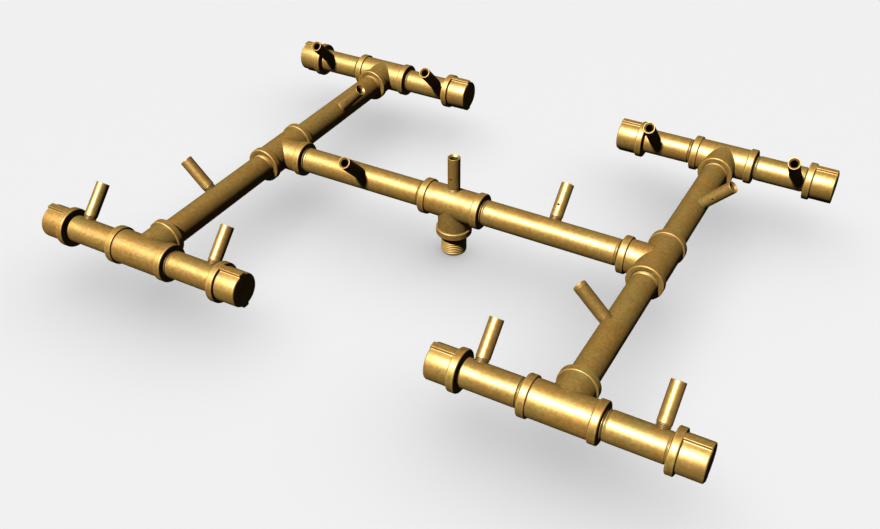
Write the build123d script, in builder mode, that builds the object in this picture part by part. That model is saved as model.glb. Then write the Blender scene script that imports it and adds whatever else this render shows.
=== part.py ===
from build123d import *

import os
from math import radians, sqrt, tan

# Brass H-pattern gas burner for a fire pit.
#
# Half-inch NPT nipples, tees and caps make an H-shaped manifold, fed through a threaded
# inlet under its centre.  Fifteen 1/8 inch NPT jets screw into the manifold, each with an
# orifice in its base, an air hole in its side and an open bore.
#
# Frame: origin on the inlet's axis at its lower end, +Z up, +X along the crossbar, +Y from
# the front end tees towards the rear ones.  Millimetres.

os.makedirs("parts", exist_ok=True)

INCH = 25.4
TAPER = 1 / 32  # NPT: the radius grows by 1 in 32 along the axis
THREAD_GAP = 0.03  # radial gap between the made-up male and female threads

# Half-inch NPT pipe
pipe_radius = 21.34 / 2
pipe_bore = 15.8 / 2
pipe_pitch = INCH / 14
pipe_groove = 1.2  # depth of a thread groove
pipe_end_chamfer = 0.45
exposed_grooves = 3  # grooves in sight beside a made-up fitting
first_groove = 1.1  # from the fitting's face to the first groove in sight

# Nipples, and how far each is screwed in
long_nipple = 5.5 * INCH
short_nipple = 2.5 * INCH
close_nipple = 1.125 * INCH
crossbar_engagement = 10.55
side_engagement = 10.1
arm_engagement = 9.7
inlet_engagement = 10.3

# Threaded tees
tee_radius = 13.5
tee_branch_radius = 13.4  # the branch is a touch slimmer than the run
tee_band_radius = 14.96
tee_band_width = 5.96
tee_run = 27.25  # centre to each end of the run
tee_branch = 27.7  # centre to the end of the branch
band_round = 0.9
waterway = 9.2
branch_waterway = 9.0  # and so is the passage through it
tap_depth = 13.0
tap_countersink = 0.6

# Threaded caps
cap_length = 23.77
cap_radius = 13.25
cap_band_radius = 15.72
cap_band_width = 5.77
cap_end_round = 1.1
cap_hollow = 19.0  # mouth to the floor of the hollow
lug_width = 5.1
lug_radius = 15.1
lug_round = 0.4

# Jets: turned from 10.3 mm bar, with a 1/8 inch NPT base.  Heights are above the seat,
# where the jet's axis meets the outside of the pipe.
jet_length = 1.375 * INCH
jet_exposed = 29.8
jet_radius = 10.3 / 2
jet_bore = 6.6 / 2
jet_end_chamfer = 0.3
jet_countersink = 1.35  # width and depth of the cone cut in the mouth
jet_pitch = INCH / 27
jet_groove = 0.6
jet_shoulder = 3.0  # where the thread ends and the plain tube starts
jet_grooves = 4
jet_pilot = 4.4 / 2  # gas passage drilled from below
jet_orifice = 1.5 / 2
jet_web_floor = 1.0
jet_web_top = 3.0
drill_half_angle = radians(59)
air_hole = 2.0 / 2
air_hole_height = 11.4
arm_jet_offset = 61.94  # from the end tee's axis to the jet on each arm

# Sizes that follow from the ones above
axis_height = tee_branch + close_nipple - inlet_engagement
half_width = tee_run + long_nipple - 2 * crossbar_engagement + tee_branch
half_depth = tee_run + long_nipple - 2 * side_engagement + tee_branch
cap_mouth = tee_run + short_nipple - 2 * arm_engagement
crossbar_jet_offset = (tee_run + half_width - tee_branch) / 2
side_jet_offset = (tee_run + half_depth - tee_branch) / 2
jet_engaged = jet_length - jet_exposed
jet_seat_radius = jet_radius - jet_shoulder * TAPER
inlet_exposed = close_nipple - inlet_engagement

UP = Vector(0, 0, 1)
ALONG_X = Vector(1, 0, 0)
ALONG_Y = Vector(0, 1, 0)


def section_plane(origin, direction, side):
    """The plane whose X is the radius, towards side, and whose Y runs along direction."""
    return Plane(origin=origin, x_dir=side, z_dir=side.cross(direction))


def groove(height, depth, radius):
    """The three points of a 60 degree thread groove, from its upper lip to its lower one."""
    half = depth / sqrt(3)
    return [(radius, height + half), (radius - depth, height), (radius, height - half)]


def made_up_end(length, engaged):
    """Outer points of a nipple's end: tip, tapered engaged stretch and grooves in sight."""
    tip_radius = pipe_radius - engaged * TAPER
    points = [
        (tip_radius - pipe_end_chamfer, length),
        (tip_radius, length - pipe_end_chamfer),
        (pipe_radius, length - engaged),
    ]
    for turn in range(exposed_grooves):
        depth = pipe_groove * (1 - turn / (exposed_grooves + 1))
        height = length - engaged - first_groove - turn * pipe_pitch
        points += groove(height, depth, pipe_radius)
    return points


def write_node(builder, node):
    """Labels a finished piece and writes it as its own node."""
    builder.part.label = node
    export_step(builder.part, f"parts/{node}.step")


def jet_seat_section(seat, direction, side):
    """Section of the tapered, tapped hole under a jet, on a plane through the jet's axis."""
    floor = -jet_engaged - 1
    with BuildSketch(section_plane(seat, direction, side)) as section:
        with BuildLine():
            Polyline(
                (0, floor),
                (jet_seat_radius + THREAD_GAP + floor * TAPER, floor),
                (jet_radius + THREAD_GAP, jet_shoulder),
                (0, jet_shoulder),
                close=True,
            )
        make_face()
    return section.sketch


def tap_section(face_centre, outward, side):
    """Section of a fitting's tapered, tapped end, on a plane through its axis."""
    mouth = pipe_radius + THREAD_GAP
    with BuildSketch(section_plane(face_centre, outward, side)) as section:
        with BuildLine():
            Polyline(
                (0, 0),
                (mouth + tap_countersink, 0),
                (mouth - tap_countersink * TAPER, -tap_countersink),
                (mouth - tap_depth * TAPER, -tap_depth),
                (0, -tap_depth),
                close=True,
            )
        make_face()
    return section.sketch


def make_nipple(node, start, direction, length, engaged, seat, lean):
    """A nipple threaded at both ends, tapped at seat for the jet that leans along lean."""
    far_end = made_up_end(length, engaged)
    near_end = [(radius, length - height) for radius, height in far_end]
    with BuildPart() as nipple:
        with BuildSketch(section_plane(start, direction, UP)):
            with BuildLine():
                Polyline((pipe_bore, 0), *near_end, *far_end[::-1], (pipe_bore, length), close=True)
            make_face()
        revolve(axis=Axis(start, direction))
        revolve(
            jet_seat_section(seat, lean, direction),
            axis=Axis(seat, lean),
            mode=Mode.SUBTRACT,
        )
    write_node(nipple, node)


def make_inlet(node):
    """The close nipple under the centre tee: thread in sight below, made up above."""
    turns = int((inlet_exposed - 2 * first_groove) / pipe_pitch) + 1
    top_radius = pipe_radius - inlet_engagement * TAPER
    thread = []
    for turn in reversed(range(turns)):
        height = pipe_end_chamfer + first_groove + turn * pipe_pitch
        thread += groove(height, pipe_groove, pipe_radius)
    with BuildPart() as inlet:
        with BuildSketch(section_plane(Vector(), UP, ALONG_X)):
            with BuildLine():
                Polyline(
                    (pipe_bore, 0),
                    (pipe_radius - pipe_end_chamfer, 0),
                    (pipe_radius, pipe_end_chamfer),
                    *thread[::-1],
                    (pipe_radius, inlet_exposed),
                    (top_radius, close_nipple - pipe_end_chamfer),
                    (top_radius - pipe_end_chamfer, close_nipple),
                    (pipe_bore, close_nipple),
                    close=True,
                )
            make_face()
        revolve(axis=Axis.Z)
    write_node(inlet, node)


def make_tee(node, centre, run, branch, jet_seat=False):
    """A banded tee with three tapped ends.

    jet_seat taps one more hole, for a jet, in the wall opposite the branch."""
    across = run.cross(branch)
    ends = [
        (centre + run * tee_run, run),
        (centre - run * tee_run, -run),
        (centre + branch * tee_branch, branch),
    ]
    with BuildPart() as tee:
        with BuildSketch(section_plane(centre, run, across)) as run_section:
            with BuildLine():
                Polyline(
                    (0, -tee_run),
                    (tee_band_radius, -tee_run),
                    (tee_band_radius, tee_band_width - tee_run),
                    (tee_radius, tee_band_width - tee_run),
                    (tee_radius, tee_run - tee_band_width),
                    (tee_band_radius, tee_run - tee_band_width),
                    (tee_band_radius, tee_run),
                    (0, tee_run),
                    close=True,
                )
            make_face()
            fillet(run_section.vertices().group_by(Axis.X)[-1], band_round)
        revolve(axis=Axis(centre, run))
        with BuildSketch(section_plane(centre, branch, across)) as branch_section:
            with BuildLine():
                Polyline(
                    (0, 0),
                    (tee_branch_radius, 0),
                    (tee_branch_radius, tee_branch - tee_band_width),
                    (tee_band_radius, tee_branch - tee_band_width),
                    (tee_band_radius, tee_branch),
                    (0, tee_branch),
                    close=True,
                )
            make_face()
            fillet(branch_section.vertices().group_by(Axis.X)[-1], band_round)
        revolve(axis=Axis(centre, branch))
        with BuildSketch(Plane(origin=centre - run * tee_run, z_dir=run)):
            Circle(waterway)
        extrude(amount=2 * tee_run, mode=Mode.SUBTRACT)
        with BuildSketch(Plane(origin=centre, z_dir=branch)):
            Circle(branch_waterway)
        extrude(amount=tee_branch, mode=Mode.SUBTRACT)
        for face_centre, outward in ends:
            revolve(
                tap_section(face_centre, outward, across),
                axis=Axis(face_centre, outward),
                mode=Mode.SUBTRACT,
            )
        if jet_seat:
            seat = centre - branch * tee_radius
            revolve(
                jet_seat_section(seat, -branch, run),
                axis=Axis(seat, -branch),
                mode=Mode.SUBTRACT,
            )
    write_node(tee, node)


def make_cap(node, mouth, outward):
    """A cap with its mouth at mouth and its closed end outward.

    Two lugs for a wrench run from the band to the closed end, above and below."""
    lug_length = cap_length - band_round
    with BuildPart() as cap:
        with BuildSketch(section_plane(mouth, outward, UP)) as lugs:
            with Locations((0, cap_length - lug_length / 2)):
                Rectangle(2 * lug_radius, lug_length)
            fillet(lugs.vertices().group_by(Axis.Y)[-1], cap_end_round)
        extrude(amount=lug_width / 2, both=True)
        fillet(cap.edges().filter_by(Axis(mouth, outward)), lug_round)
        with BuildSketch(section_plane(mouth, outward, UP)) as body:
            with BuildLine():
                Polyline(
                    (0, 0),
                    (cap_band_radius, 0),
                    (cap_band_radius, cap_band_width),
                    (cap_radius, cap_band_width),
                    (cap_radius, cap_length),
                    (0, cap_length),
                    close=True,
                )
            make_face()
            fillet(body.vertices().group_by(Axis.X)[-1], band_round)
            fillet(body.vertices().group_by(Axis.Y)[-1].sort_by(Axis.X)[-1], cap_end_round)
        revolve(axis=Axis(mouth, outward))
        with BuildSketch(Plane(origin=mouth, z_dir=outward)):
            Circle(waterway)
        extrude(amount=cap_hollow, mode=Mode.SUBTRACT)
        revolve(tap_section(mouth, -outward, UP), axis=Axis(mouth, outward), mode=Mode.SUBTRACT)
    write_node(cap, node)


def make_jet(node, seat, lean, air_side):
    """A jet that stands on seat and leans along lean, its air hole facing air_side."""
    foot_radius = jet_seat_radius - jet_engaged * TAPER
    drill_point = (jet_bore - jet_orifice) / tan(drill_half_angle)
    thread = []
    for turn in range(jet_grooves):
        height = jet_shoulder - (turn + 0.7) * jet_pitch
        thread += groove(height, jet_groove, jet_seat_radius + height * TAPER)
    with BuildPart() as jet:
        with BuildSketch(section_plane(seat, lean, air_side)):
            with BuildLine():
                Polyline(
                    (jet_pilot, -jet_engaged),
                    (foot_radius - jet_end_chamfer, -jet_engaged),
                    (foot_radius, jet_end_chamfer - jet_engaged),
                    *thread[::-1],
                    (jet_radius, jet_shoulder),
                    (jet_radius, jet_exposed - jet_end_chamfer),
                    (jet_radius - jet_end_chamfer, jet_exposed),
                    (jet_bore + jet_countersink, jet_exposed),
                    (jet_bore, jet_exposed - jet_countersink),
                    (jet_bore, jet_web_top + drill_point),
                    (jet_orifice, jet_web_top),
                    (jet_orifice, jet_web_floor),
                    (jet_pilot, jet_web_floor),
                    close=True,
                )
            make_face()
        revolve(axis=Axis(seat, lean))
        with BuildSketch(Plane(origin=seat + lean * air_hole_height, z_dir=air_side)):
            Circle(air_hole)
        extrude(amount=2 * jet_radius, mode=Mode.SUBTRACT)
    write_node(jet, node)


def pipe_jet(node, pipe_point, lean, air_side):
    """A jet on a pipe; returns the seat, where its axis leaves the pipe's outside."""
    seat = pipe_point + lean * pipe_radius
    make_jet(node, seat, lean, air_side)
    return seat


centre = UP * axis_height
make_inlet("inlet_nipple")
make_tee("centre_tee", centre, ALONG_X, -UP, jet_seat=True)
make_jet("centre_jet", centre + UP * tee_radius, UP, -ALONG_Y)

for side, out in (("left", -ALONG_X), ("right", ALONG_X)):
    swing = ALONG_Y * out.X  # the two halves are alike after half a turn about Z
    side_centre = centre + out * half_width
    make_tee(f"{side}_tee", side_centre, ALONG_Y, -out)
    lean = (swing + UP).normalized()
    air_side = (UP - swing).normalized()
    crossbar_point = centre + out * crossbar_jet_offset
    make_nipple(
        f"{side}_crossbar_pipe",
        centre + out * (tee_run - crossbar_engagement),
        out,
        long_nipple,
        crossbar_engagement,
        pipe_jet(f"{side}_crossbar_jet", crossbar_point, lean, air_side),
        lean,
    )
    for end, away in (("front", -ALONG_Y), ("rear", ALONG_Y)):
        end_centre = side_centre + away * half_depth
        make_tee(f"{end}_{side}_tee", end_centre, ALONG_X, -away)
        lean = (ALONG_X * away.Y + UP).normalized()
        side_point = side_centre + away * side_jet_offset
        make_nipple(
            f"{end}_{side}_side_pipe",
            side_centre + away * (tee_run - side_engagement),
            away,
            long_nipple,
            side_engagement,
            pipe_jet(f"{end}_{side}_side_jet", side_point, lean, -away),
            lean,
        )
        lean = (UP - away).normalized()
        for arm, along in (("outer", out), ("inner", -out)):
            name = f"{end}_{side}_{arm}"
            arm_point = end_centre + along * arm_jet_offset
            make_nipple(
                f"{name}_nipple",
                end_centre + along * (tee_run - arm_engagement),
                along,
                short_nipple,
                arm_engagement,
                pipe_jet(f"{name}_jet", arm_point, lean, -along),
                lean,
            )
            make_cap(f"{name}_cap", end_centre + along * cap_mouth, along)
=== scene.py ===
import math

import bmesh
import bpy
from mathutils import Matrix, Vector


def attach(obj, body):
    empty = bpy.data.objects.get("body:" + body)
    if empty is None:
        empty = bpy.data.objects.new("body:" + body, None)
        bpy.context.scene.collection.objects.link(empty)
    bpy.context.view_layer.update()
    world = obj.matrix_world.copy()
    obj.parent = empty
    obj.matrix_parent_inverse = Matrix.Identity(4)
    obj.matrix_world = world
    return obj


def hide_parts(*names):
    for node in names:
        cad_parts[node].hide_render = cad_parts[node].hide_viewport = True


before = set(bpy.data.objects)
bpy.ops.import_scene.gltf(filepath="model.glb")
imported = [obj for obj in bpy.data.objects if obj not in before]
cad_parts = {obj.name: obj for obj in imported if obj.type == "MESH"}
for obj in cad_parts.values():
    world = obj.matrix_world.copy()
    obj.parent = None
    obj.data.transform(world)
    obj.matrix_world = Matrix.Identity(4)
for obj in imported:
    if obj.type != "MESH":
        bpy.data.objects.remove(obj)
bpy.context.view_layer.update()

# Brass fire-pit burner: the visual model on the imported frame.  Every CAD node gets a finer
# mesh with helical threads, rounded edges and drilled holes.  Lengths are in millimetres
# until a mesh is placed, and in metres in the paint and on the stage.

MM = 0.001
INCH = 25.4
TAPER = 1 / 32

# The main pipe: half-inch NPT, with the pitch and depth of its thread
pipe_radius = 21.34 / 2
pipe_bore = 15.8 / 2
pipe_pitch = INCH / 14
pipe_depth = 1.3
bore_chamfer = 0.5

# Nipples, how far each screws into a fitting, and how much thread is left in sight beside it
long_nipple = 5.5 * INCH
short_nipple = 2.5 * INCH
close_nipple = 1.125 * INCH
crossbar_engagement = 10.55
side_engagement = 10.1
arm_engagement = 9.7
inlet_engagement = 10.3
thread_in_sight = 5.0
arm_cap_thread_in_sight = 3.7
thread_gap = 0.03

# Tees, from the middle to the face of each end, and their tapped holes
tee_radius = 13.5
tee_branch_radius = 13.4
tee_band_radius = 14.96
tee_band_width = 5.96
tee_run = 27.25
tee_branch = 27.7
tee_crease = 0.7
band_round = 0.9
band_fillet = 0.35
waterway = 9.2
branch_waterway = 9.0
tap_mouth = pipe_radius + thread_gap
tap_depth = 13.0
tap_countersink = 0.6

# Caps, and the two lugs along each one's barrel
cap_length = 23.77
cap_radius = 13.25
cap_band_radius = 15.72
cap_band_width = 5.77
cap_end_round = 1.1
cap_hollow = 19.0
lug_half_width = 2.55
lug_radius = 15.1
lug_round = 0.4
lug_foot = 0.5

# Jets: eighth-inch NPT tubes with an air hole in the side and an orifice in a web at the foot
jet_length = 1.375 * INCH
jet_exposed = 29.8
jet_radius = 10.3 / 2
jet_bore = 6.6 / 2
jet_countersink = 1.35
jet_pitch = INCH / 27
jet_depth = 0.62
jet_shoulder = 3.0
jet_pilot = 4.4 / 2
jet_orifice = 1.5 / 2
jet_mouth_round = 0.25
jet_lip_round = 0.15
jet_web_floor = 1.0
jet_web_top = 3.0
jet_drill_point = (jet_bore - jet_orifice) / math.tan(math.radians(59))
air_hole = 2.0 / 2
air_hole_height = 11.4
jet_seat_gap = 0.03

# Where the pieces stand
arm_jet_offset = 61.94
axis_height = tee_branch + close_nipple - inlet_engagement
half_width = tee_run + long_nipple - 2 * crossbar_engagement + tee_branch
half_depth = tee_run + long_nipple - 2 * side_engagement + tee_branch
cap_mouth = tee_run + short_nipple - 2 * arm_engagement
crossbar_jet_offset = (tee_run + half_width - tee_branch) / 2
side_jet_offset = (tee_run + half_depth - tee_branch) / 2
jet_engaged = jet_length - jet_exposed
jet_seat_radius = jet_radius - jet_shoulder * TAPER
jet_hole = jet_seat_radius + jet_seat_gap
inlet_exposed = close_nipple - inlet_engagement

UP = Vector((0, 0, 1))
ALONG_X = Vector((1, 0, 0))
ALONG_Y = Vector((0, 1, 0))

# One pitch of a thread: where along the pitch, and how deep, from crest (0) to root (1)
THREAD_FORM = [(0.0, 0.0), (0.12, 0.0), (0.33, 0.5), (0.53, 1.0), (0.65, 1.0), (0.84, 0.45)]

# A lug's foot runs out into the barrel through these shares of its size, outwards and sideways
LUG_FOOT_CURVE = [(0.1, 0.35), (0.4, 0.08), (0.9, 0.0)]

# Wear on a rounded edge, painted shade with grime in a fillet, and how they fade: distance and share
WORN_EDGE = (1.0, 0.0)
WORN_FADE = [(0.3, 0.5), (0.7, 0.0)]
SHADED_GRIMY_FILLET = (0.0, 0.75)
SHADE_AND_GRIME_FADE = [(0.25, 0.6), (0.7, 0.0)]
THREAD_CREST_WEAR = 0.7
# Painted shade with grime along the crease where a tee's branch meets its run
CREASE_SHADE_AND_GRIME = 0.6

ROUNDING_LIMIT = 0.48  # the share of a straight stretch that one rounding may take up
FADE_LIMIT = 0.5  # the share of it that the fading wear or grime may reach
NO_LUG = 99.0  # an inset that leaves no lug on a cap's outline
HOLE_LEVELS = 6  # rings of faces from a hole's rim to the border of its half-barrel
HOLE_SPREAD = 1.4  # how much the rings crowd towards the rim
CREASE_LIMIT = 0.4  # the share of a half-barrel's surface that a crease may take from it
SHARP_ANGLE = math.radians(32)
WELD_DISTANCE = 1e-7  # in metres, as the mesh is by then


class Shell:
    """Gathers the vertices and faces of one closed piece about its local Z axis."""

    def __init__(self, quarter):
        self.quarter = quarter  # columns over a quarter of a hole's rim
        self.columns = 2 * quarter
        self.points = []
        self.marks = []  # for each vertex: place along the turned profile, wear, painted shade with grime
        self.faces = []
        self.bore_shade = 0.0  # the least painted shade on each vertex added from here on

    def add(self, point, turned, worn=0.0, shade_and_grime=0.0):
        self.points.append(point)
        self.marks.append((turned, worn, max(shade_and_grime, self.bore_shade)))
        return len(self.points) - 1

    def angle(self, column):
        return -math.pi / 2 + 2 * math.pi * column / self.columns

    def rim_angle(self, step):
        """Turn of a step round a hole, whose rim has four quarters of columns."""
        return math.pi * (step / (2 * self.quarter) - 0.25)

    def on_barrel(self, radius, turn, height, worn=0.0, shade_and_grime=0.0):
        """A vertex at a turn about Z, and its place along the turned profile."""
        place = (radius * math.cos(turn), radius * math.sin(turn), height)
        return self.add(place, height - radius, worn, shade_and_grime)

    def ring(self, radius, height, worn=0.0, shade_and_grime=0.0):
        """A level ring about Z."""
        return [
            self.on_barrel(radius, self.angle(i), height, worn, shade_and_grime)
            for i in range(self.columns)
        ]

    def join(self, lower, upper):
        """Quads between two rings of as many vertices."""
        count = len(lower)
        for i in range(count):
            j = (i + 1) % count
            self.faces.append((lower[i], lower[j], upper[j], upper[i]))

    def close(self, ring, point, turned):
        """A fan from a ring to one point."""
        tip = self.add(point, turned)
        count = len(ring)
        for i in range(count):
            self.faces.append((ring[i], ring[(i + 1) % count], tip))

    def grow(self, ring, stops):
        """Rings at each (radius, height, worn, shade_and_grime) stop, joined one after another."""
        for radius, height, worn, shade_and_grime in stops:
            upper = self.ring(radius, height, worn, shade_and_grime)
            self.join(ring, upper)
            ring = upper
        return ring

    def thread(self, ring, start, pitch, turns, radius, fade_in, fade_out, top):
        """A right-hand helical thread from a level ring up to a new one at height top.

        radius(height, cut) gives the radius where the groove is cut that deep."""
        count = self.columns
        last = turns * count
        rows = len(THREAD_FORM)
        helix = {}
        for step in range(last + count + 1):
            form = THREAD_FORM if step <= last else THREAD_FORM[:1]
            for row, (phase, cut) in enumerate(form):
                height = start + pitch * (step / count + phase)
                deep = cut * min(1, step / (count * fade_in), (last - step) / (count * fade_out))
                deep = max(0.0, deep)
                worn = THREAD_CREST_WEAR if cut == 0 and 0 < step < last else 0.0
                r = radius(height, deep)
                # Painted shade: the groove is painted darker the deeper it is cut
                helix[step, row] = self.on_barrel(r, self.angle(step), height, worn, deep)
            if step >= count:
                helix[step - count, rows] = helix[step, 0]
        for step in range(last):
            for row in range(rows):
                self.faces.append(
                    (
                        helix[step, row],
                        helix[step + 1, row],
                        helix[step + 1, row + 1],
                        helix[step, row + 1],
                    )
                )
        for i in range(count - 1):
            self.faces.append((ring[i], ring[i + 1], helix[i + 1, 0], helix[i, 0]))
        seam = [helix[0, row] for row in range(rows + 1)]
        self.faces.append((ring[count - 1], ring[0], *seam, helix[count - 1, 0]))
        upper = self.ring(radius(top, 0), top)
        for i in range(1, count):
            j = (i + 1) % count
            self.faces.append((helix[last + i, 0], helix[last + i + 1, 0], upper[j], upper[i]))
        seam = [helix[last, row] for row in range(rows, 0, -1)]
        self.faces.append((helix[last, 0], helix[last + 1, 0], upper[1], upper[0], *seam))
        return upper

    def side_columns(self, radius, low, high, middle, reach):
        """The two vertical seams between a barrel's halves, from the top ring down."""
        seams = []
        for column in (0, self.quarter):
            seam = [high[column]]
            for i in range(1, self.quarter):
                height = middle + reach * (1 - 2 * i / self.quarter)
                seam.append(self.on_barrel(radius, self.angle(column), height))
            seam.append(low[column])
            seams.append(seam)
        return seams

    def plain_half(self, radius, low, high, seams, first, middle, reach):
        """A barrel's half with no hole, from column first over half a turn."""
        quarter = self.quarter
        columns = [seams[first // quarter]]
        for i in range(1, quarter):
            column = [high[first + i]]
            for j in range(1, quarter):
                height = middle + reach * (1 - 2 * j / quarter)
                column.append(self.on_barrel(radius, self.angle(first + i), height))
            column.append(low[first + i])
            columns.append(column)
        columns.append(seams[1 - first // quarter])
        for left, right in zip(columns, columns[1:]):
            for j in range(quarter):
                self.faces.append((left[j], left[j + 1], right[j + 1], right[j]))

    def pierced_half(self, radius, hole, low, high, seams, first, middle, reach, edge=0.0):
        """A barrel's half with a round hole along its middle, and the hole's rim.

        With an edge, the surface stops that far short of the rim.  The ring of vertices at
        the surface's end comes back, and then the points of the rim itself."""
        quarter = self.quarter
        facing = self.angle(first + quarter / 2)
        left, right = (seams[0], seams[1]) if first == 0 else (seams[1], seams[0])
        top = [high[(first + i) % self.columns] for i in range(quarter + 1)]
        bottom = [low[(first + i) % self.columns] for i in range(quarter + 1)]
        border = top[:-1] + right[:-1] + bottom[:0:-1] + left[:0:-1]
        rim = []
        outer = []
        for i in range(4 * quarter):
            turn = self.rim_angle(i)
            rim.append((hole * math.cos(turn), math.asin(hole * math.sin(turn) / radius)))
            along = i % quarter / quarter
            outer.append(
                [
                    (reach, math.pi * (along - 0.5)),
                    (reach * (1 - 2 * along), math.pi / 2),
                    (-reach, math.pi * (0.5 - along)),
                    (reach * (2 * along - 1), -math.pi / 2),
                ][i // quarter]
            )

        def place(i, share):
            rise = rim[i][0] + (outer[i][0] - rim[i][0]) * share
            turn = rim[i][1] + (outer[i][1] - rim[i][1]) * share
            x = radius * math.cos(facing + turn)
            y = radius * math.sin(facing + turn)
            return (x, y, middle + rise)

        starts = []
        for (rise, turn), (far_rise, far_turn) in zip(rim, outer):
            width = math.hypot(far_rise - rise, radius * (far_turn - turn))
            starts.append(min(CREASE_LIMIT, edge / width))
        rings = []
        for level in range(HOLE_LEVELS):
            grow = (level / HOLE_LEVELS) ** HOLE_SPREAD
            points = [place(i, start + (1 - start) * grow) for i, start in enumerate(starts)]
            rings.append([self.add(point, point[2] - radius) for point in points])
        rings.append(border)
        for inner, outside in zip(rings, rings[1:]):
            self.join(inner, outside)
        return rings[0], [Vector(place(i, 0)) for i in range(4 * quarter)]


def rounded(corners, arc=4):
    """Stops along a profile of (radius, height, rounding) corners.

    A positive rounding is a worn outer edge, a negative one a fillet with painted shade and grime."""
    stops = []
    for i, (radius, height, rounding) in enumerate(corners):
        here = Vector((radius, height))
        if rounding == 0 or i in (0, len(corners) - 1):
            stops.append((radius, height, 0.0, 0.0))
            continue
        before = Vector(corners[i - 1][:2]) - here
        after = Vector(corners[i + 1][:2]) - here
        to_before, to_after = before.normalized(), after.normalized()
        bend = before.angle(after)
        back = abs(rounding) / math.tan(bend / 2)
        back = min(back, ROUNDING_LIMIT * before.length, ROUNDING_LIMIT * after.length)
        start = here + to_before * back
        end = here + to_after * back
        middle = (to_before + to_after).normalized()
        centre = here + middle * (back / math.cos(bend / 2))
        size = back * math.tan(bend / 2)
        first = math.atan2(*(start - centre).yx)
        sweep = (math.atan2(*(end - centre).yx) - first + math.pi) % (2 * math.pi) - math.pi
        # A fillet gets painted shade with grime, a worn edge its wear
        marks, fade = (WORN_EDGE, WORN_FADE) if rounding > 0 else (SHADED_GRIMY_FILLET, SHADE_AND_GRIME_FADE)
        lead, trail = [], []
        for beyond, share in fade:
            edge = (marks[0] * share, marks[1] * share)
            if before.length * FADE_LIMIT > back + beyond:
                lead.insert(0, (*(here + to_before * (back + beyond)), *edge))
            if after.length * FADE_LIMIT > back + beyond:
                trail.append((*(here + to_after * (back + beyond)), *edge))
        stops += lead
        for step in range(arc + 1):
            turn = first + sweep * step / arc
            across = centre.x + size * math.cos(turn)
            stops.append((across, centre.y + size * math.sin(turn), *marks))
        stops += trail
    return stops


def plain_stops(pairs):
    """Stops with no wear and no grime at (radius, height) pairs."""
    return [(radius, height, 0, 0) for radius, height in pairs]


def nipple_shell(length, engaged, jet_height, reach, far_in_sight=thread_in_sight):
    """A nipple from one tip at height 0 to the other at length, jet hole towards +X.

    reach is how far the mesh around the jet's hole goes along the pipe to either side."""
    shell = Shell(32)
    crest = pipe_radius - engaged * TAPER
    tip_cut = 0.75  # how deep the tip is cut, as a share of the thread's depth
    tip = crest - pipe_depth * tip_cut
    tip_slope = 0.9
    tip_fade, sight_fade = 0.6, 1.3  # turns over which a thread runs out
    tip_clear, tip_ring, sight_ring = 0.3, 0.25, 0.05  # plain lengths beside the thread

    def radius(height, cut):
        depth_in = min(height, length - height)
        full = min(pipe_radius, crest + depth_in * TAPER)
        return min(full - cut * pipe_depth, tip + tip_slope * depth_in)

    bottom = shell.ring(tip, 0)
    near_end = engaged + thread_in_sight
    turns = int((near_end - tip_clear) / pipe_pitch) - 1
    start = near_end - (turns + 1) * pipe_pitch - sight_ring
    fades = (tip_fade, sight_fade)
    outer = shell.thread(bottom, start, pipe_pitch, turns, radius, *fades, near_end)
    low = shell.grow(outer, plain_stops([(pipe_radius, jet_height - reach)]))
    high = shell.ring(pipe_radius, jet_height + reach)
    seams = shell.side_columns(pipe_radius, low, high, jet_height, reach)
    rim, _ = shell.pierced_half(pipe_radius, jet_hole, low, high, seams, 0, jet_height, reach)
    shell.plain_half(pipe_radius, low, high, seams, shell.quarter, jet_height, reach)
    far_end = length - engaged - far_in_sight
    outer = shell.grow(high, plain_stops([(pipe_radius, far_end)]))
    turns = int((length - tip_clear - far_end) / pipe_pitch) - 1
    top = length - tip_ring
    fades = (sight_fade, tip_fade)
    outer = shell.thread(outer, far_end, pipe_pitch, turns, radius, *fades, top)
    bore_mouth = [(tip, length), (pipe_bore + bore_chamfer, length)]
    bore_top = [(pipe_bore, length - bore_chamfer), (pipe_bore, jet_height + reach)]
    inner = shell.grow(outer, plain_stops(bore_mouth + bore_top))
    low = shell.ring(pipe_bore, jet_height - reach)
    seams = shell.side_columns(pipe_bore, low, inner, jet_height, reach)
    hole = jet_hole - (pipe_radius - pipe_bore) * TAPER
    inner_rim, _ = shell.pierced_half(pipe_bore, hole, low, inner, seams, 0, jet_height, reach)
    shell.plain_half(pipe_bore, low, inner, seams, shell.quarter, jet_height, reach)
    shell.join(rim, inner_rim)
    inner = shell.grow(low, plain_stops([(pipe_bore, bore_chamfer), (pipe_bore + bore_chamfer, 0)]))
    shell.join(inner, bottom)
    return shell


def inlet_shell():
    """The close nipple under the centre tee, from its free end at height 0."""
    shell = Shell(40)
    root = pipe_radius - pipe_depth
    end_lip = 0.15
    end_slope = 0.95
    fade = 0.5  # turns over which the thread runs out
    foot_clear, top_clear, both_clear = 0.2, 0.1, 0.4  # plain lengths beside the thread
    lip_height, lip_wear = 0.12, 0.8

    def radius(height, cut):
        above = max(0.0, height - inlet_exposed)
        full = pipe_radius - above * TAPER
        end = min(height, close_nipple - height)
        return min(full - cut * pipe_depth, root + end_lip + end_slope * end)

    bottom = shell.ring(radius(0, 0), 0)
    turns = int((close_nipple - both_clear) / pipe_pitch) - 1
    top = close_nipple - top_clear
    outer = shell.thread(bottom, foot_clear, pipe_pitch, turns, radius, fade, fade, top)
    inner = shell.grow(
        outer,
        [
            (root, close_nipple, 0, 0),
            (pipe_bore + bore_chamfer, close_nipple, 0, 0),
            (pipe_bore, close_nipple - bore_chamfer, 0, 0),
            (pipe_bore, close_nipple / 2, 0, 0),
            (pipe_bore, bore_chamfer, 0, 0),
            (pipe_bore + bore_chamfer / 2, lip_height, lip_wear, 0),
            (pipe_bore + bore_chamfer, 0, lip_wear, 0),
        ],
    )
    shell.join(inner, bottom)
    return shell


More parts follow.
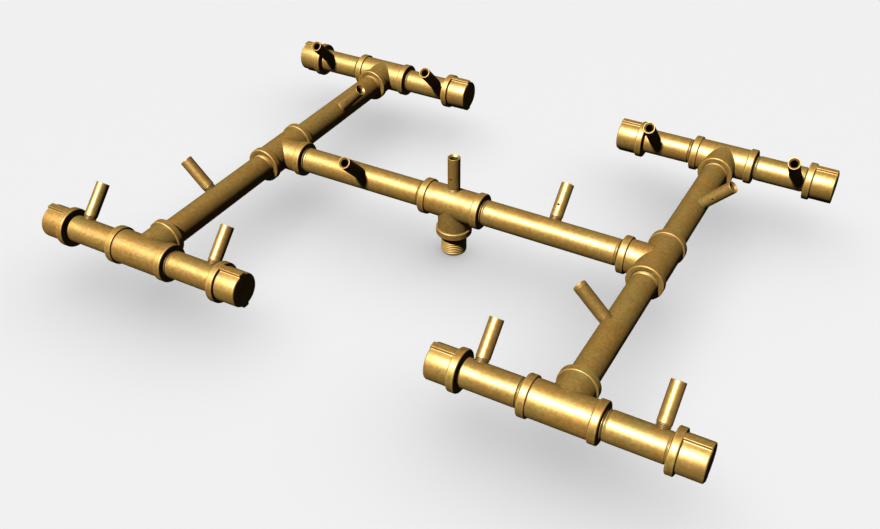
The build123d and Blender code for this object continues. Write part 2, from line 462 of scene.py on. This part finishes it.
def tapped_end(face):
    """Stops of a tapped hole, from inside its mouth down to its bottom."""
    return plain_stops(
        [
            (tap_mouth - tap_countersink * TAPER, face - tap_countersink),
            (tap_mouth - tap_depth * TAPER, face - tap_depth),
        ]
    )


def banded_end(radius, start, face):
    """Stops of a fitting's end, from its barrel over the band to the mouth of its tapped hole."""
    band_foot = face - tee_band_width
    return rounded(
        [
            (radius, start, 0),
            (radius, band_foot, -band_fillet),
            (tee_band_radius, band_foot, band_round),
            (tee_band_radius, face, band_round),
            (tap_mouth + tap_countersink, face, 0),
        ]
    )


def branch_ring(shell, points, shade_and_grime=0.0, worn=0.0):
    """Vertices at the points, whose place along the turned profile is their X."""
    return [shell.add(tuple(p), p[0], worn, shade_and_grime) for p in points]


def branch_stops(shell, ring, stops):
    """Rings about the local X axis with a rim's many columns, joined one after another."""
    for radius, height, worn, shade_and_grime in stops:
        points = []
        for i in range(4 * shell.quarter):
            turn = shell.rim_angle(i)
            points.append((height, radius * math.sin(turn), radius * math.cos(turn)))
        upper = branch_ring(shell, points, shade_and_grime, worn)
        shell.join(ring, upper)
        ring = upper
    return ring


def branch_crease(shell, rim, corner):
    """A curved crease from the run's barrel, through the corner's points, on to the branch."""
    ring = rim
    starts = [Vector(shell.points[i]) for i in rim]
    finishes = [point + Vector((tee_crease, 0, 0)) for point in corner]
    for t in (0.25, 0.5, 0.75):
        points = []
        for start, middle, finish in zip(starts, corner, finishes):
            points.append(start * (1 - t) ** 2 + middle * 2 * t * (1 - t) + finish * t * t)
        # Painted shade with grime along the crease
        upper = branch_ring(shell, points, CREASE_SHADE_AND_GRIME)
        shell.join(ring, upper)
        ring = upper
    upper = branch_ring(shell, finishes)
    shell.join(ring, upper)
    return upper


def second_half(shell, radius, hole, low, high, seams, reach):
    """The barrel's half away from the branch, with the rim of a hole if there is one."""
    if hole:
        return shell.pierced_half(radius, hole, low, high, seams, shell.quarter, 0, reach)[0]
    shell.plain_half(radius, low, high, seams, shell.quarter, 0, reach)
    return None


def tee_shell(seat=None):
    """A tee with its run along Z and its branch along +X.

    seat is the radius of a jet's tapped hole towards -X, if there is one."""
    shell = Shell(32)
    reach, inner_reach = 16.6, 11.5  # how far the pierced barrels go along the run
    branch_start = tee_radius + 1.5
    low = shell.ring(tee_radius, -reach)
    high = shell.ring(tee_radius, reach)
    seams = shell.side_columns(tee_radius, low, high, 0, reach)
    rim, corner = shell.pierced_half(
        tee_radius, tee_branch_radius, low, high, seams, 0, 0, reach, tee_crease
    )
    seat_rim = second_half(shell, tee_radius, seat, low, high, seams, reach)

    end = banded_end(tee_radius, reach, tee_run)[1:] + tapped_end(tee_run)
    mouths = []
    for ring, sign in ((high, 1), (low, -1)):
        mouths.append(shell.grow(ring, [(r, sign * h, w, g) for r, h, w, g in end]))

    ring = branch_crease(shell, rim, corner)
    ring = branch_stops(shell, ring, banded_end(tee_branch_radius, branch_start, tee_branch))
    ring = branch_stops(shell, ring, tapped_end(tee_branch))
    shoulder = plain_stops([(branch_waterway, tee_branch - tap_depth)])
    ring = branch_stops(shell, ring, shoulder)

    low = shell.ring(waterway, -inner_reach)
    high = shell.ring(waterway, inner_reach)
    seams = shell.side_columns(waterway, low, high, 0, inner_reach)
    inner_rim, _ = shell.pierced_half(
        waterway, branch_waterway, low, high, seams, 0, 0, inner_reach
    )
    shell.join(ring, inner_rim)
    inner_hole = seat - (tee_radius - waterway) * TAPER if seat else None
    inner_seat = second_half(shell, waterway, inner_hole, low, high, seams, inner_reach)
    if seat:
        shell.join(seat_rim, inner_seat)
    for ring, mouth, sign in ((high, mouths[0], 1), (low, mouths[1], -1)):
        ring = shell.grow(ring, plain_stops([(waterway, sign * (tee_run - tap_depth))]))
        shell.join(ring, mouth)
    return shell


def lug_outline():
    """Half of a lug's outline as (turn from the lug's middle, radius) from its foot."""
    base = math.sqrt(cap_radius**2 - lug_half_width**2)
    foot_edge = lug_half_width + lug_foot
    points = [(math.sqrt(cap_radius**2 - foot_edge**2), foot_edge)]
    for outwards, sideways in LUG_FOOT_CURVE:
        points.append((base + lug_foot * outwards, lug_half_width + lug_foot * sideways))
    round_steps = 3
    for step in range(round_steps + 1):
        turn = math.pi / 2 * step / round_steps
        points.append(
            (
                lug_radius - lug_round * (1 - math.sin(turn)),
                lug_half_width - lug_round * (1 - math.cos(turn)),
            )
        )
    points.append((lug_radius, lug_half_width * 0.4))  # on the way to the lug's middle
    return [(math.atan2(y, x), math.hypot(x, y)) for x, y in points]


def cap_shell():
    """A cap with its mouth at height 0 and lugs towards +X and -X."""
    shell = Shell(36)
    outline = lug_outline()
    foot = outline[0][0]
    half = outline[::-1]  # from the middle of one lug to the middle of the next
    between_lugs = 22
    for step in range(1, between_lugs):
        half.append((foot + (math.pi - 2 * foot) * step / between_lugs, 0.0))
    half += [(math.pi - turn, radius) for turn, radius in outline]
    around = half + [(turn + math.pi, radius) for turn, radius in half]

    def ring(profile, height, inset=NO_LUG, worn=0.0, shade_and_grime=0.0):
        points = []
        for turn, lug in around:
            radius = max(profile, lug - inset)
            # Painted shade with grime lies on the barrel only, not on the lugs
            barrel_shade_and_grime = shade_and_grime if radius == profile else 0.0
            points.append(shell.on_barrel(radius, turn, height, worn, barrel_shade_and_grime))
        return points

    stops = rounded(
        [
            (tap_mouth + tap_countersink, 0, 0),
            (cap_band_radius, 0, band_round),
            (cap_band_radius, cap_band_width, band_round),
            (cap_radius, cap_band_width, -band_fillet),
            (cap_radius, cap_length - cap_end_round, 0),
        ]
    )
    rings = []
    for radius, height, worn, shade_and_grime in stops:
        inset = NO_LUG if height < cap_band_width - 1 else 0.0
        rings.append(ring(radius, height, inset, worn, shade_and_grime))
    end_steps = 5
    for step in range(1, end_steps + 1):
        turn = math.pi / 2 * step / end_steps
        inset = cap_end_round * (1 - math.cos(turn))
        height = cap_length - cap_end_round * (1 - math.sin(turn))
        rings.append(ring(cap_radius - inset, height, inset, 1.0))
    flat_end = (cap_radius - 2.6, cap_radius / 2, 1.2)  # rings across it, before its middle
    rings += [ring(radius, cap_length) for radius in flat_end]
    for lower, upper in zip(rings, rings[1:]):
        shell.join(lower, upper)
    shell.close(rings[-1], (0, 0, cap_length), cap_length)
    inner = rings[0]
    for radius, height in (
        (tap_mouth - tap_countersink * TAPER, tap_countersink),
        (tap_mouth - tap_depth * TAPER, tap_depth),
        (waterway, tap_depth),
        (waterway, cap_hollow),
        (waterway / 2, cap_hollow),
        (1.0, cap_hollow),
    ):
        upper = ring(radius, height)
        shell.join(inner, upper)
        inner = upper
    shell.close(inner, (0, 0, cap_hollow), cap_hollow)
    return shell


def jet_shell():
    """A jet with its seat at height 0 and its air hole towards +X."""
    shell = Shell(20)
    foot = jet_seat_radius - jet_engaged * TAPER
    foot_slope = 0.9
    foot_fade, shoulder_fade = 0.6, 0.8  # turns over which the thread runs out
    foot_clear, shoulder_clear = 0.2, 0.1  # plain lengths beside the thread
    shoulder_round, shoulder_wear = 0.2, 0.4
    unshaded_bore = 0.4  # how far the bore under the countersink is free of painted shade
    middle = air_hole_height
    reach = 2.6  # how far the mesh around the air hole goes up and down

    def radius(height, cut):
        full = min(jet_radius, jet_seat_radius + height * TAPER)
        end = height + jet_engaged
        return min(full - cut * jet_depth, foot - jet_depth + foot_slope * end)

    bottom = shell.ring(foot - jet_depth, -jet_engaged)
    turns = int((jet_engaged + jet_shoulder - foot_clear) / jet_pitch) - 1
    start = jet_shoulder - shoulder_clear - (turns + 1) * jet_pitch
    fades = (foot_fade, shoulder_fade)
    outer = shell.thread(bottom, start, jet_pitch, turns, radius, *fades, jet_shoulder)
    outer = shell.grow(outer, [(jet_radius, jet_shoulder + shoulder_round, shoulder_wear, 0)])
    low = shell.grow(outer, plain_stops([(jet_radius, middle - reach)]))
    high = shell.ring(jet_radius, middle + reach)
    seams = shell.side_columns(jet_radius, low, high, middle, reach)
    rim, _ = shell.pierced_half(jet_radius, air_hole, low, high, seams, 0, middle, reach)
    shell.plain_half(jet_radius, low, high, seams, shell.quarter, middle, reach)
    mouth = rounded(
        [
            (jet_radius, middle + reach + 1, 0),
            (jet_radius, jet_exposed, jet_mouth_round),
            (jet_bore + jet_countersink, jet_exposed, jet_lip_round),
            (jet_bore, jet_exposed - jet_countersink, 0),
        ],
        arc=3,
    )
    high = shell.grow(high, mouth)
    # Painted shade: the bore inside is painted near black from here on
    shell.bore_shade = 1.0
    bore_shade_start = jet_exposed - jet_countersink - unshaded_bore
    high = shell.grow(high, plain_stops([(jet_bore, bore_shade_start), (jet_bore, middle + reach)]))
    low = shell.ring(jet_bore, middle - reach)
    seams = shell.side_columns(jet_bore, low, high, middle, reach)
    inner_rim, _ = shell.pierced_half(jet_bore, air_hole, low, high, seams, 0, middle, reach)
    shell.plain_half(jet_bore, low, high, seams, shell.quarter, middle, reach)
    shell.join(rim, inner_rim)
    inner = shell.grow(
        low,
        plain_stops(
            [
                (jet_bore, jet_web_top + jet_drill_point),
                (jet_orifice, jet_web_top),
                (jet_orifice, jet_web_floor),
                (jet_pilot, jet_web_floor),
                (jet_pilot, -jet_engaged),
            ]
        ),
    )
    shell.join(inner, bottom)
    return shell


brass_pieces = bpy.data.collections.new("brass_pieces")  # what the lamps on the brass light


def piece(name, shell, origin, axis, side, material):
    """Makes one piece with its local Z along axis and X along side, in place of its CAD node."""
    mesh = bpy.data.meshes.new(name)
    mesh.from_pydata([Vector(p) * MM for p in shell.points], [], shell.faces)
    for index, layer_name in enumerate(("turned", "worn", "shade_and_grime")):
        layer = mesh.attributes.new(layer_name, "FLOAT", "POINT")
        layer.data.foreach_set("value", [marks[index] for marks in shell.marks])
    work = bmesh.new()
    work.from_mesh(mesh)
    bmesh.ops.remove_doubles(work, verts=work.verts, dist=WELD_DISTANCE)
    bmesh.ops.recalc_face_normals(work, faces=work.faces)
    work.to_mesh(mesh)
    work.free()
    mesh.shade_smooth()
    mesh.set_sharp_from_angle(angle=SHARP_ANGLE)
    mesh.materials.append(material)
    across = axis.cross(side)
    turn = Matrix((side, across, axis)).transposed().to_4x4()
    obj = bpy.data.objects.new(name, mesh)
    bpy.context.scene.collection.objects.link(obj)
    obj.matrix_world = Matrix.Translation(origin * MM) @ turn
    obj.visible_diffuse = False  # no light bounces between pieces, so their shade stays deep
    obj.visible_glossy = False
    brass_pieces.objects.link(obj)
    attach(obj, "root")
    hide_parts(name)


def feed(tree, sockets, values):
    """Links each socket to its value, or sets it where the value isn't an output."""
    for socket, value in zip(sockets, values):
        if isinstance(value, bpy.types.NodeSocket):
            tree.links.new(value, socket)
        else:
            socket.default_value = value


def attribute(tree, name):
    made = tree.nodes.new("ShaderNodeAttribute")
    made.attribute_name = name
    return made.outputs["Fac"]


def noise(tree, vector, scale, detail, rough, distortion=0.0, dimensions="3D"):
    """Noise with a scale in spots per metre, or per millimetre along the turned profile."""
    made = tree.nodes.new("ShaderNodeTexNoise")
    made.noise_dimensions = dimensions
    if dimensions == "1D":
        tree.links.new(vector, made.inputs["W"])
    else:
        tree.links.new(vector, made.inputs["Vector"])
    made.inputs["Scale"].default_value = scale
    made.inputs["Detail"].default_value = detail
    made.inputs["Roughness"].default_value = rough
    made.inputs["Distortion"].default_value = distortion
    return made.outputs["Fac"]


def span(tree, value, low, high, to_low=0.0, to_high=1.0):
    """A value's range from low to high, stretched and clamped to another range."""
    made = tree.nodes.new("ShaderNodeMapRange")
    ends = [made.inputs[end] for end in ("Value", "From Min", "From Max", "To Min", "To Max")]
    feed(tree, ends, (value, low, high, to_low, to_high))
    return made.outputs["Result"]


def maths(tree, operation, a, b):
    """One Math node; a and b are outputs or plain numbers."""
    made = tree.nodes.new("ShaderNodeMath")
    made.operation = operation
    feed(tree, made.inputs, (a, b))
    return made.outputs[0]


def tint(tree, colour, patches, share, over):
    """A colour laid over another one in patches, up to a share of it."""
    made = tree.nodes.new("ShaderNodeMix")
    made.data_type = "RGBA"
    factor, under, upper = made.inputs[0], made.inputs[6], made.inputs[7]
    if share < 1:
        patches = maths(tree, "MULTIPLY", patches, share)
    feed(tree, (factor, under, upper), (patches, colour, over))
    return made.outputs[2]


def streaks(tree, place, turn, length, width, low, high):
    """Fine scratches along one direction, that long and wide, as a 0 to 1 mask."""
    mapping = tree.nodes.new("ShaderNodeMapping")
    scale = (1 / length, 1 / width, 1 / width)
    ends = [mapping.inputs[end] for end in ("Vector", "Rotation", "Scale")]
    feed(tree, ends, (place, turn, scale))
    turned_place = mapping.outputs[0]
    lines = noise(tree, turned_place, scale=1.0, detail=3.0, rough=0.6, distortion=0.2)
    return span(tree, lines, low, high)


def product(tree, first, *others):
    for other in others:
        first = maths(tree, "MULTIPLY", first, other)
    return first


def total(tree, first, *others):
    for other in others:
        first = maths(tree, "ADD", first, other)
    return first


OLIVE = (0.82, 0.60, 0.12, 1)
COPPER = (0.93, 0.46, 0.08, 1)
RUBBED = (0.96, 0.74, 0.26, 1)
ELSEWHERE = (0.31, 0.17, 0.53)  # a shift, so that two noises don't follow each other


def brass(name, bright, brown, lines, cast, rough):
    """Satin brass: mottled bright and brown, with olive and copper patches and turned lines.

    lines is how strong the turned lines are, cast how strong a cast skin is."""
    material = bpy.data.materials.new(name)
    material.use_nodes = True
    tree = material.node_tree
    shader = tree.nodes["Principled BSDF"]
    place = tree.nodes.new("ShaderNodeNewGeometry").outputs["Position"]
    worn = attribute(tree, "worn")
    shade_and_grime = attribute(tree, "shade_and_grime")

    mottle = noise(tree, place, scale=80.0, detail=6.0, rough=0.6, distortion=0.6)
    fine = noise(tree, place, scale=420.0, detail=4.0, rough=0.6)
    grain = noise(tree, place, scale=1900.0, detail=3.0, rough=0.5)
    olive = noise(tree, place, scale=38.0, detail=5.0, rough=0.55, distortion=0.8)
    shift = tree.nodes.new("ShaderNodeVectorMath")
    feed(tree, shift.inputs, (place, ELSEWHERE))
    shifted = shift.outputs[0]
    copper = noise(tree, shifted, scale=34.0, detail=5.0, rough=0.55, distortion=0.6)
    turned = attribute(tree, "turned")
    turned_line = noise(tree, turned, scale=3.1, detail=6.0, rough=0.75, dimensions="1D")
    scratch = streaks(
        tree, place, turn=(0.4, 0.9, 0.7), length=0.012, width=0.0007, low=0.60, high=0.74
    )
    rub = streaks(
        tree, shifted, turn=(-0.8, 0.3, 2.1), length=0.020, width=0.0013, low=0.55, high=0.70
    )

    colour = tint(tree, brown, span(tree, mottle, 0.36, 0.64), share=1, over=bright)
    colour = tint(tree, colour, span(tree, olive, 0.50, 0.64), share=0.60, over=OLIVE)
    colour = tint(tree, colour, span(tree, copper, 0.48, 0.62), share=0.65, over=COPPER)
    colour = tint(tree, colour, rub, share=0.50, over=RUBBED)
    brightness = product(
        tree,
        span(tree, fine, 0.3, 0.7, 0.84, 1.12),
        span(tree, turned_line, 0.25, 0.75, 1 - lines, 1 + lines),
        span(tree, scratch, 0.0, 1.0, 1.0, 0.80),
        # Painted shade: darkens the colour down to 0.16 in fillets, creases, thread roots and the
        # jets' bores
        span(tree, shade_and_grime, 0.0, 1.0, 1.0, 0.16),
        span(tree, worn, 0.0, 1.0, 1.0, 1.03),
    )
    scaled = tree.nodes.new("ShaderNodeVectorMath")
    scaled.operation = "SCALE"
    feed(tree, (scaled.inputs[0], scaled.inputs["Scale"]), (colour, brightness))
    tree.links.new(scaled.outputs[0], shader.inputs["Base Color"])

    roughness = total(
        tree,
        span(tree, mottle, 0.3, 0.7, rough + 0.06, rough - 0.05),
        span(tree, fine, 0.3, 0.7, -0.04, 0.04),
        span(tree, worn, 0.0, 1.0, 0.0, 0.10),
        span(tree, shade_and_grime, 0.0, 1.0, 0.0, 0.3),
    )
    tree.links.new(roughness, shader.inputs["Roughness"])
    clean_metal = span(tree, mottle, 0.3, 0.7, 0.69, 0.75)
    metal = maths(tree, "SUBTRACT", clean_metal, span(tree, shade_and_grime, 0, 1, 0, 0.4))
    tree.links.new(metal, shader.inputs["Metallic"])
    shader.inputs["Coat Weight"].default_value = 1.0
    shader.inputs["Coat IOR"].default_value = 1.7
    shader.inputs["Coat Roughness"].default_value = 0.42

    line_relief = maths(tree, "MULTIPLY", turned_line, lines)
    cast_relief = maths(tree, "MULTIPLY", grain, cast)
    bump = tree.nodes.new("ShaderNodeBump")
    bump.inputs["Strength"].default_value = 0.5
    bump.inputs["Distance"].default_value = 0.0002
    tree.links.new(maths(tree, "ADD", line_relief, cast_relief), bump.inputs["Height"])
    tree.links.new(bump.outputs[0], shader.inputs["Normal"])
    return material


fitting_brass = brass(
    "fitting_brass", (0.98, 0.57, 0.13, 1), (0.74, 0.41, 0.08, 1), lines=0.05, cast=0.35, rough=0.48
)
nipple_brass = brass(
    "nipple_brass", (1.0, 0.60, 0.14, 1), (0.76, 0.43, 0.08, 1), lines=0.06, cast=0.2, rough=0.46
)
jet_brass = brass(
    "jet_brass", (1.0, 0.57, 0.14, 1), (0.78, 0.42, 0.08, 1), lines=0.06, cast=0.12, rough=0.45
)

# How far along a pipe its jet's hole is from the end that the tee holds
crossbar_jet_height = (crossbar_jet_offset - tee_run) + crossbar_engagement
side_jet_height = (side_jet_offset - tee_run) + side_engagement
arm_jet_height = arm_jet_offset - tee_run + arm_engagement
long_reach = 8.0
arm_reach = 5.6

crossbar_pipe = nipple_shell(long_nipple, crossbar_engagement, crossbar_jet_height, long_reach)
side_pipe = nipple_shell(long_nipple, side_engagement, side_jet_height, long_reach)
arm_nipple = nipple_shell(
    short_nipple, arm_engagement, arm_jet_height, arm_reach, arm_cap_thread_in_sight
)
tee = tee_shell()
centre_tee = tee_shell(jet_hole)
cap = cap_shell()
jet = jet_shell()


def add_tee(name, origin, run, branch, shell=tee):
    piece(name, shell, origin, run, branch, fitting_brass)


def add_nipple(name, shell, origin, axis, lean):
    piece(name, shell, origin, axis, lean, nipple_brass)


def add_jet(name, seat, lean, air_side):
    piece(name, jet, seat, lean, air_side, jet_brass)


centre = UP * axis_height
add_nipple("inlet_nipple", inlet_shell(), Vector(), UP, ALONG_X)
add_tee("centre_tee", centre, ALONG_X, -UP, centre_tee)
add_jet("centre_jet", centre + UP * tee_radius, UP, -ALONG_Y)

# Each side is the other one turned by half a turn, with a crossbar pipe, two side pipes and four arms
for side, out in (("left", -ALONG_X), ("right", ALONG_X)):
    swing = ALONG_Y * out.x
    side_centre = centre + out * half_width
    add_tee(f"{side}_tee", side_centre, ALONG_Y, -out)
    lean = (swing + UP).normalized()
    point = centre + out * crossbar_jet_offset + lean * pipe_radius
    add_jet(f"{side}_crossbar_jet", point, lean, (UP - swing).normalized())
    start = centre + out * (tee_run - crossbar_engagement)
    add_nipple(f"{side}_crossbar_pipe", crossbar_pipe, start, out, lean)
    for end, away in (("front", -ALONG_Y), ("rear", ALONG_Y)):
        end_centre = side_centre + away * half_depth
        add_tee(f"{end}_{side}_tee", end_centre, ALONG_X, -away)
        lean = (ALONG_X * away.y + UP).normalized()
        point = side_centre + away * side_jet_offset + lean * pipe_radius
        add_jet(f"{end}_{side}_side_jet", point, lean, -away)
        start = side_centre + away * (tee_run - side_engagement)
        add_nipple(f"{end}_{side}_side_pipe", side_pipe, start, away, lean)
        lean = (UP - away).normalized()
        for arm, along in (("outer", out), ("inner", -out)):
            name = f"{end}_{side}_{arm}"
            point = end_centre + along * arm_jet_offset + lean * pipe_radius
            add_jet(f"{name}_jet", point, lean, -along)
            start = end_centre + along * (tee_run - arm_engagement)
            add_nipple(f"{name}_nipple", arm_nipple, start, along, lean)
            mouth = end_centre + along * cap_mouth
            piece(f"{name}_cap", cap, mouth, along, UP, fitting_brass)

# Stage: a plain pale floor, lamps that each light either the brass or the floor, and a pale
# backdrop that only the camera sees

FLOOR_HALF = 30
FLOOR_DROP = 0.0005
floor_corners = [(-FLOOR_HALF, -FLOOR_HALF, 0), (FLOOR_HALF, -FLOOR_HALF, 0)]
floor_corners += [(FLOOR_HALF, FLOOR_HALF, 0), (-FLOOR_HALF, FLOOR_HALF, 0)]


def floor_paint():
    """Matt pale grey from above, and clear from below so that the underside can be seen."""
    material = bpy.data.materials.new("floor")
    material.use_nodes = True
    tree = material.node_tree
    matt = tree.nodes["Principled BSDF"]
    matt.inputs["Base Color"].default_value = (0.83, 0.83, 0.83, 1)
    matt.inputs["Roughness"].default_value = 0.9
    matt.inputs["Specular IOR Level"].default_value = 0.1
    clear = tree.nodes.new("ShaderNodeBsdfTransparent")
    below = tree.nodes.new("ShaderNodeNewGeometry").outputs["Backfacing"]
    sides = tree.nodes.new("ShaderNodeMixShader")
    feed(tree, sides.inputs, (below, matt.outputs[0], clear.outputs[0]))
    tree.links.new(sides.outputs[0], tree.nodes["Material Output"].inputs[0])
    return material


floor_mesh = bpy.data.meshes.new("floor")
floor_mesh.from_pydata(floor_corners, [], [(0, 1, 2, 3)])
floor_mesh.materials.append(floor_paint())
floor = bpy.data.objects.new("floor", floor_mesh)
floor.location.z = -FLOOR_DROP
floor.visible_glossy = False
floor.visible_diffuse = False
floor.visible_shadow = False
bpy.context.scene.collection.objects.link(floor)
floor_only = bpy.data.collections.new("floor_only")
floor_only.objects.link(floor)


def sun(name, towards, strength, angle, receivers, gleam=False):
    """A distant light from towards onto one collection, with or without a highlight."""
    lamp = bpy.data.lights.new(name, "SUN")
    lamp.energy = strength
    lamp.angle = math.radians(angle)
    obj = bpy.data.objects.new(name, lamp)
    obj.rotation_mode = "QUATERNION"
    obj.rotation_quaternion = Vector(towards).to_track_quat("Z", "Y")
    bpy.context.scene.collection.objects.link(obj)
    obj.light_linking.receiver_collection = receivers
    obj.visible_glossy = gleam


# The key light from the front, weak fills on the sides that it leaves dark, and the floor's own
sun("key", (-0.140, -0.580, 0.802), strength=4.4, angle=5, receivers=brass_pieces, gleam=True)
sun("back", (-0.375, 0.687, -0.622), strength=1.5, angle=20, receivers=brass_pieces)
sun("rear", (-0.300, 0.850, 0.420), strength=0.3, angle=40, receivers=brass_pieces)
sun("side", (1.0, 0.25, -0.2), strength=0.05, angle=40, receivers=brass_pieces)
sun("overhead", (0.1, 0.2, 1.0), strength=3.4, angle=110, receivers=floor_only)


def studio_world():
    """Almost no light from the surroundings, and a pale backdrop for the camera's own rays."""
    world = bpy.data.worlds.new("studio")
    world.use_nodes = True
    tree = world.node_tree
    fill = tree.nodes["Background"]
    fill.inputs["Color"].default_value = (1, 1, 1, 1)
    fill.inputs["Strength"].default_value = 0.005
    backdrop = tree.nodes.new("ShaderNodeBackground")
    backdrop.inputs["Color"].default_value = (0.86, 0.86, 0.86, 1)
    straight = tree.nodes.new("ShaderNodeLightPath").outputs["Is Camera Ray"]
    seen = tree.nodes.new("ShaderNodeMixShader")
    feed(tree, seen.inputs, (straight, fill.outputs[0], backdrop.outputs[0]))
    tree.links.new(seen.outputs[0], tree.nodes["World Output"].inputs[0])
    return world


bpy.context.scene.world = studio_world()
bpy.context.scene.view_settings.view_transform = "Standard"

camera_data = bpy.data.cameras.new("camera")
camera_data.sensor_width = 36
camera_data.lens = 40.14
camera_data.shift_x = -0.0145
camera_data.shift_y = 0.0360
camera = bpy.data.objects.new("camera", camera_data)
camera.location = (0.3233, -0.5940, 0.4864)
camera.rotation_mode = "QUATERNION"
camera.rotation_quaternion = Vector((-0.3753, 0.6870, -0.6223)).to_track_quat("-Z", "Y")
bpy.context.scene.collection.objects.link(camera)
bpy.context.scene.camera = camera
